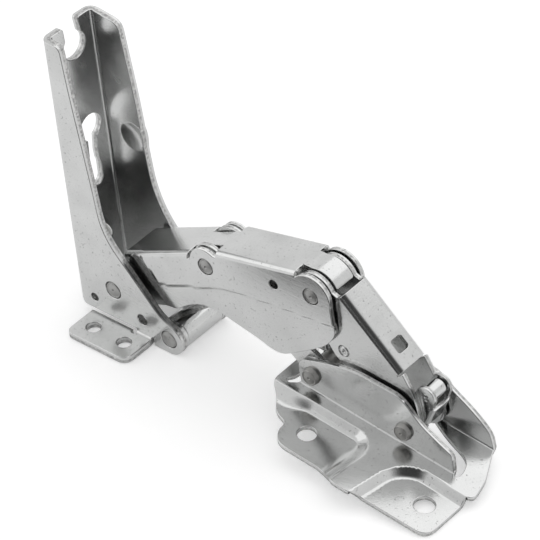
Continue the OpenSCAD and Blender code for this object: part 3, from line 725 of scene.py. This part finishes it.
inner_from, inner_to, inner_top, inner_reach = 8, 13.4, 5.2, 41.64
place, blank, on_grid, rows, start = channel(lever_eye, 30.45, half=5.4, bend=2.1, top=inner_top,
                                             web_from=inner_from, web_to=inner_to)
inner_half = np.concatenate((
    [(inner_to, start - 1.5, 0.15), (inner_to, start + 0.25, 0.12), (inner_to + 0.4, start + 0.25, 0.12)],
    with_rounds(blank([(inner_to + 0.4, inner_top), (38, inner_top)]), [0.6, 3]),
    with_rounds(blank(arc((inner_reach, 0), 5.7, 66, -125, 44)), 0),
    with_rounds(blank([(34.5, -3), (10, -3)]), [3, 4]),
    with_rounds(blank(arc((0, 0), 5.9, 295, 65, 40)), 0),
    with_rounds(blank([(4, inner_top), (inner_from - 0.4, inner_top)]), [1, 0.6]),
    [(inner_from - 0.4, start + 0.25, 0.12), (inner_from, start + 0.25, 0.12),
     (inner_from, start - 1.5, 0.15)]))
folded_sheet("inner_lever", "inner_lever", lever_zinc, place, both_sides(inner_half),
             cheek_bores(blank, (((0, 0), 2.66), ((inner_reach, 0), 4.7))),
             thickness=1.5, edge=0.2, spacing=1.2, rows=rows, on_grid=on_grid)

# The roller's stirrup: a small folded channel of 1.2 mm sheet on the arm's lower pin, open towards the hinge.
# Its two eyes hold the roller's pin.
arm_foot = (114.5, 11.1)
stirrup_from, stirrup_to, stirrup_reach = 3.5, 10.2, 12.89
place, blank, on_grid, rows, start = channel(arm_foot, -66.2, half=3.9, bend=1.5, top=4.0,
                                             web_from=stirrup_from, web_to=stirrup_to, way=-1)
stirrup_half = np.concatenate((
    [(stirrup_to, start - 1.0, 0.12), (stirrup_to, start + 0.25, 0.12), (stirrup_to + 0.4, start + 0.25, 0.12)],
    with_rounds(blank([(stirrup_to + 0.4, -3.39)]), 0.4),
    with_rounds(blank(arc((stirrup_reach, 0), 3.2, -85.5, 85.5, 24)), 0),
    with_rounds(blank(arc((0, 0), 4.2, 85.5, 274.5, 36)), 0),
    with_rounds(blank([(stirrup_from - 0.4, -3.97)]), 0.4),
    [(stirrup_from - 0.4, start + 0.25, 0.12), (stirrup_from, start + 0.25, 0.12),
     (stirrup_from, start - 1.0, 0.12)]))
folded_sheet("roller_stirrup", "swing_arm", lever_zinc, place, both_sides(stirrup_half),
             cheek_bores(blank, (((0, 0), 2.66), ((stirrup_reach, 0), 1.1))),
             thickness=1.2, edge=0.15, spacing=0.8, rows=rows, on_grid=on_grid)

# The door plate: one sheet of 1.5 mm steel. Two feet for the door's screws are drawn down out of it with soft
# steps, and two cheeks that hold the pins are lanced and folded up along the middle.
plate_zinc = zinc_material("plate_zinc", (0.74, 0.745, 0.74), rough=0.18, grain=0.22)
fold_radius = 0.5
fold_front = -8.1
fold_back = 5.6
quarter_fold = fold_radius * np.pi / 2
fold_gain = quarter_fold - fold_radius
foot_drop = 2.4
plate_tilt = np.radians(6.5)
plate_corner = np.array((63.6, 15.95, 10.7))
plate_pins = ((4.282, 4.816), (36.121, 4.518))
plate_holes = ((12.8, -19.8, 2.7), (53.2, -19.8, 3.0))
room_from = -4.0
room = 4.0
room_span = fold_back - room_from


def roomy(points):
    """Points (u, y) of the plate in the blank, which is drawn out behind the front fold so that the front
    cheek lies free in its slot."""
    u, y = np.asarray(points, float).T
    drawn = np.where(y > room_from, y + (y - room_from) * room / room_span, y)
    return np.stack((u, np.where(y > fold_back, y + room, drawn)), 1)


def closed_up(v):
    """Depth on the plate of a place in the blank, the other way round."""
    drawn = np.where(v > room_from, room_from + (v - room_from) * room_span / (room_span + room), v)
    return np.where(v > fold_back + room, v - room, drawn)


def folded_up(q, line):
    """Sheet bent up along a line: flat before it, a quarter round of the fold's radius, then upright."""
    run = np.clip(q - line, 0, quarter_fold) / fold_radius
    across = np.minimum(q, line) + fold_radius * np.sin(run)
    height = fold_radius * (1 - np.cos(run)) + np.maximum(q - line - quarter_fold, 0)
    return across, height


def sunken(a, b, corner, width_a, width_b):
    """Depth share, 0 on the base to 1 in a foot, from the distances a and b behind two step edges that meet
    in a round corner. The step starts with a small round, is steepest near its top and runs out softly."""
    softness, soft_root = 0.03, 0.1732
    in_corner = (a < corner) & (b < corner)
    depth = np.where(in_corner, corner - np.hypot(corner - a, corner - b), np.minimum(a, b))
    turn = np.arctan2(np.maximum(corner - b, 0), np.maximum(corner - a, 1e-6)) / (np.pi / 2)
    share = eased(np.where(in_corner, turn, (b < a).astype(float)))
    t = np.clip(depth / (width_a + (width_b - width_a) * share), 0, 1)
    t = (np.sqrt(t * t + softness) - soft_root) / (np.sqrt(1 + softness) - soft_root)
    return 1 - (1 - np.clip(t, 0, 1)) ** 2


def plate_height(u, y):
    """Height of the sheet's upper face over its plan: level base, two feet drawn down. The side steps of both
    feet lean to the left towards the front."""
    left_side = 30.2 + (y + 28) * 0.12
    right_side = 36.6 + (y + 28.5) * 0.17
    right_back = -11.6 - 0.03 * (u - 46)
    left = sunken(left_side - u, -11.0 - y, 8.5, 6.6, 6.4 - 3.6 * eased((u - 0.5) / 8))
    right = sunken(u - right_side, right_back - y, 9.0, 2.8, 2.6)
    return -foot_drop * np.maximum(left, right)


cheek_foot = np.array((0, fold_front + fold_gain))
front_cheek = np.array([(53.2, 0.5), (52.6, 5.8), (48.7, 7.1), (41.3, 10.2), (36.2, 14.6), (33.4, 15.9),
                        (19.4, 15.4), (13.8, 14.1), (7.5, 11.7), (3.8, 10.1), (0.2, 8.4), (-0.6, 5),
                        (0.5, 0.5)]) + cheek_foot
cheek_rounds = [2, 3, 3, 2, 3, 3, 3, 2, 3, 3, 3]
cheek_bounds = softened(np.concatenate((front_cheek, [(0.5, fold_front - 0.02), (53.2, fold_front - 0.02)])),
                        [0] + cheek_rounds + [0, 0, 0])
cheek_bounds = evened(cheek_bounds, 2, 1)
cheek_bounds = cheek_bounds + outward(cheek_bounds) * 0.35


def on_cheek(u, v):
    """Which places of the blank belong to the front cheek: a count of the bounds' sides to the right."""
    a, b = cheek_bounds, np.roll(cheek_bounds, -1, 0)
    level = v[:, None]
    meets = (a[:, 1] > level) != (b[:, 1] > level)
    at = a[:, 0] + (level - a[:, 1]) / (b[:, 1] - a[:, 1] + 1e-12) * (b[:, 0] - a[:, 0])
    return (np.sum(meets & (u[:, None] < at), 1) % 2 == 1) & (v > fold_front)


def plate_place(u, v):
    """Folds the blank: the front cheek up along its own line, the rest sunken to the feet and folded up
    behind, all tilted with the plate."""
    depth = closed_up(v)
    base_y, base_w = folded_up(depth, fold_back)
    base_w = base_w + plate_height(u, depth)
    cheek_y, cheek_w = folded_up(v, fold_front)
    cheek = on_cheek(u, v)
    y, w = np.where(cheek, cheek_y, base_y), np.where(cheek, cheek_w, base_w)
    return np.stack((u * np.cos(plate_tilt) + w * np.sin(plate_tilt), y,
                     w * np.cos(plate_tilt) - u * np.sin(plate_tilt)), 1) + plate_corner


back_foot = np.array((0, fold_back + room + fold_gain))
back_cheek = np.array([(56, 0.5), (54.8, 4.9), (48.5, 9.4), (40.5, 13.2), (36, 16.2), (19, 16), (1.5, 10.6),
                       (-3, 6), (-3, 0.5)]) + back_foot
base_edge = roomy([(-6, 5.5), (-6, -12), (-2.8, -14.2), (1.2, -19), (5.8, -20.2), (5.8, -23.8), (9, -27.6),
                   (24.2, -27.6), (30.2, -31.1), (36.2, -31.1), (38.6, -28.6), (60.8, -28.5), (60.9, -12.3),
                   (63.1, -11.3), (61.8, -5.4), (56.3, 5.5)])
base_rounds = [1.5, 3, 2, 3, 2, 2, 3, 2, 1.5, 1.2, 1.2, 4, 0.8, 1.5, 3, 0.3]
plate_outline = softened(np.concatenate((base_edge, back_cheek)), base_rounds + [0.3, 3, 4, 4, 3, 3, 4, 3, 0.3])
slot_edge = roomy([(-0.1, -8.25), (-2.3, -9.9), (-3.6, -8.7), (-2.3, -7.0), (-2.0, -5.6), (-2.0, 5.3),
                   (36, 5.3), (43, 2), (52.8, -1.2), (54.9, -5.2), (55.2, -7.4), (54.4, -8.3)])
slot_rounds = [0.25, 1, 0.9, 0.9, 0.5, 1, 0.5, 4, 4, 2, 1, 0.4]
slot_loop = softened(np.concatenate((front_cheek, slot_edge)), [0.2] + cheek_rounds + [0.2] + slot_rounds)
screw_holes = [ring((u, y), r) for u, y, r in plate_holes]
pin_bores = [ring(np.array(pin) + foot, 2.6) for pin in plate_pins for foot in (cheek_foot, back_foot)]
fold_rows = np.linspace(0, quarter_fold, 6)
plate_rows = np.concatenate((lattice(np.arange(0.8, 53, 0.5), fold_front + fold_rows),
                             lattice(np.arange(-2.6, 55.8, 0.5), fold_back + room + fold_rows)))


def plate_grid(u, v):
    """Where the even grid holds: beside the two folds."""
    front = (np.abs(v - fold_front - quarter_fold / 2) < 0.75) & (u > 0) & (u < 54)
    back = (np.abs(v - fold_back - room - quarter_fold / 2) < 0.75) & (u > -3.2) & (u < 56.2)
    return ~(front | back)


folded_sheet("door_plate", "door_plate", plate_zinc, plate_place, plate_outline,
             [slot_loop] + screw_holes + pin_bores, thickness=1.5, edge=0.2, spacing=0.5,
             rows=plate_rows, on_grid=plate_grid)

# The rivet pins: plain steel bars through the bores, upset at both ends. Their faces stay dull and grainy,
# with the tool's ring and a small centre mark, and a fine dark gap shows round each end.
pin_steel = zinc_material("pin_steel", (0.48, 0.48, 0.47), rough=0.42, grain=0.4)
worn_pin = zinc_material("worn_pin", (0.5, 0.495, 0.48), rough=0.5, grain=0.3)


def turned(name, node, body, finish, centre, profile, count=72):
    """Turned piece along the pins' direction: the profile of (radius, depth) pairs carried once round the
    centre, x = cx + r cos a, z = cz + r sin a, y = depth."""
    r, depth = np.array(profile, float).T[:, :, None]
    turn = np.linspace(0, 2 * np.pi, count, endpoint=False)
    x, z = centre[0] + r * np.cos(turn), centre[1] + r * np.sin(turn)
    shell = np.stack((x, np.repeat(depth, count, 1), z), -1).reshape(-1, 3) + corner_shift
    row, step = np.meshgrid(np.arange(len(profile) - 1), np.arange(count), indexing="ij")
    here, there = row * count + step, row * count + (step + 1) % count
    faces = np.stack((here, there, there + count, here + count), -1).reshape(-1, 4)
    mesh = bpy.data.meshes.new(name)
    mesh.from_pydata((shell * MM).tolist(), [], faces.tolist())
    metal = bmesh.new()
    metal.from_mesh(mesh)
    bmesh.ops.remove_doubles(metal, verts=metal.verts, dist=1e-7)
    bmesh.ops.recalc_face_normals(metal, faces=metal.faces)
    metal.to_mesh(mesh)
    metal.free()
    mesh.polygons.foreach_set("use_smooth", np.ones(len(mesh.polygons), bool))
    mesh.set_sharp_from_angle(angle=0.6)
    mesh.materials.append(finish)
    fitted(name, mesh, node, body)


def upset_end(r, face, way):
    """Profile of one riveted end, from its centre outwards: centre mark, flat, tool ring, round edge."""
    rise = [(0, -0.2), (0.18, -0.2), (0.34, 0), (0.5, 0.05), (0.7, -0.02), (r * 0.72, -0.02), (r * 0.78, -0.1),
            (r * 0.84, 0), (r - 0.2, 0), (r - 0.06, -0.12), (r, -0.3)]
    return [(q, face + way * h) for q, h in rise]


def rivet(node, body, centre, r, bore, front, back, finish):
    """Whole pin: upset front end, neck in the bore, bar, neck, upset back end."""
    bar = [(r, front + 0.8), (bore, front + 1.0), (bore, back - 1.0), (r, back - 0.8)]
    turned(node + "_rivet", node, body, finish, centre,
           upset_end(r, front, -1) + bar + upset_end(r, back, 1)[::-1])


plate_eye = (82.9, 15)
rivet("upper_pin", "bracket", upper_eye, 2.62, 2.8, -10.38, 10.38, pin_steel)
rivet("lower_pin", "bracket", lower_eye, 2.62, 2.8, -10.38, 10.38, pin_steel)
rivet("lever_pin", "outer_lever", lever_eye, 2.42, 2.6, -7.48, 7.48, pin_steel)
rivet("knuckle_pin", "outer_lever", knuckle, 2.42, 2.6, -7.48, 7.48, pin_steel)
rivet("arm_pin", "swing_arm", arm_eye, 1.68, 1.8, -5.4, 5.4, lever_zinc)
rivet("plate_pin_inner", "door_plate", plate_eye, 2.5, 2.6, -9.0, 8.0, worn_pin)
rivet("plate_pin_outer", "door_plate", arm_foot, 2.5, 2.6, -9.0, 8.0, worn_pin)

# The roller and its pin: a small plain sleeve that turns on a headless pin held in the stirrup's eyes.
# The pin's end shows a bright rim round a drilled centre.
roller_eye = (119.7, 22.9)
turned("roller_sleeve", "roller", "roller", lever_zinc, roller_eye,
       [(1.2, -2.4), (2.05, -2.4), (2.3, -2.15), (2.3, 2.15), (2.05, 2.4), (1.2, 2.4), (1.2, -2.4)])
turned("roller_pin_end", "roller_pin", "swing_arm", lever_zinc, roller_eye,
       [(0, -3.4), (0.45, -3.45), (0.6, -3.86), (0.95, -3.88), (1.1, -3.7), (1.1, 3.7), (0.95, 3.88),
        (0.6, 3.86), (0.45, 3.45), (0, 3.4)])

# The washers: thin punched rings that keep the levers central between the walls.
# They are bright zinc, lie loose on the pins, and stay as the solids have them.
for node in ("upper_washers", "lower_washers", "lever_washers"):
    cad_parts[node].data.materials.clear()
    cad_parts[node].data.materials.append(lever_zinc)

# The stop buffer: a small button of white moulded plastic, pressed in behind the front wall.
# It stops the lever from ringing on the wall.
white_button = bpy.data.materials.new("white_button")
white_button.use_nodes = True
tree = white_button.node_tree
shader = tree.nodes["Principled BSDF"]
shader.inputs["Roughness"].default_value = 0.45
mould_place = add(tree, "TexCoord")
mould = add(tree, "TexNoise", Scale=700)
tones = ramp(tree, (0, (0.62, 0.62, 0.6)), (1, (0.84, 0.84, 0.82)))
wire(tree,
     (mould_place.outputs["Object"], mould.inputs["Vector"]),
     (mould.outputs["Fac"], tones.inputs["Fac"]),
     (tones.outputs["Color"], shader.inputs["Base Color"]))
turned("stop_button", "stop_buffer", "bracket", white_button, (10.6, 33),
       [(0, -8.2), (2.2, -8.2), (2.2, -7.9), (2.0, -7.8), (1.2, -7.78), (0, -7.78)])
